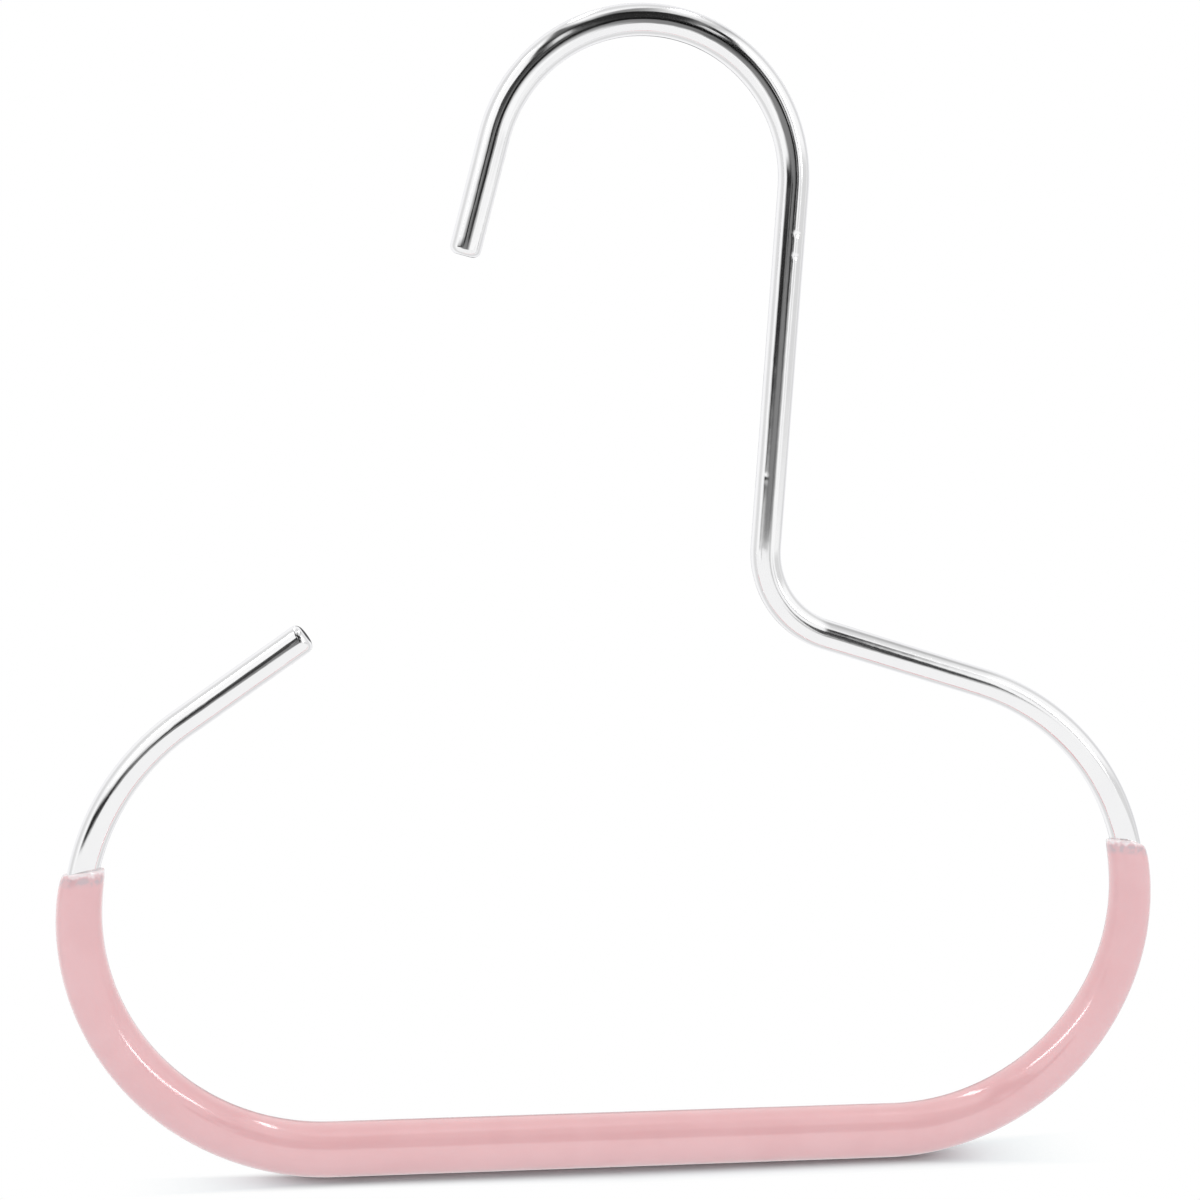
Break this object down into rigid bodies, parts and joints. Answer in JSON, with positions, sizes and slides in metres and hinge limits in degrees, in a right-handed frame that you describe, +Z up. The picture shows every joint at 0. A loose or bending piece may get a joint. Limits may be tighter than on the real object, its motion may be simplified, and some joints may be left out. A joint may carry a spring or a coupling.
{
  "type": "ring hanger",
  "caption": "Open ring hanger bent from chromed wire, with a rail hook at the top and a soft non-slip sleeve over the level bar and ring ends.",
  "frame": {"origin": "the rail seat: the highest point of the inside of the hook, midway through the wire's thickness", "axes": "+Z up as it hangs, -Y towards the viewer of the front, +X towards the neck's side of the hook, so the ring's free end is on the -X side"},
  "size_m": [0.1492, 0.0074, 0.1554],
  "materials": {
    "chrome": "polished bright chrome plating",
    "pink_pvc": "glossy light pink soft PVC"
  },
  "bodies": {
    "root": {"chromed_wire": "chrome", "pvc_sleeve": "pink_pvc"}
  },
  "joints": []
}
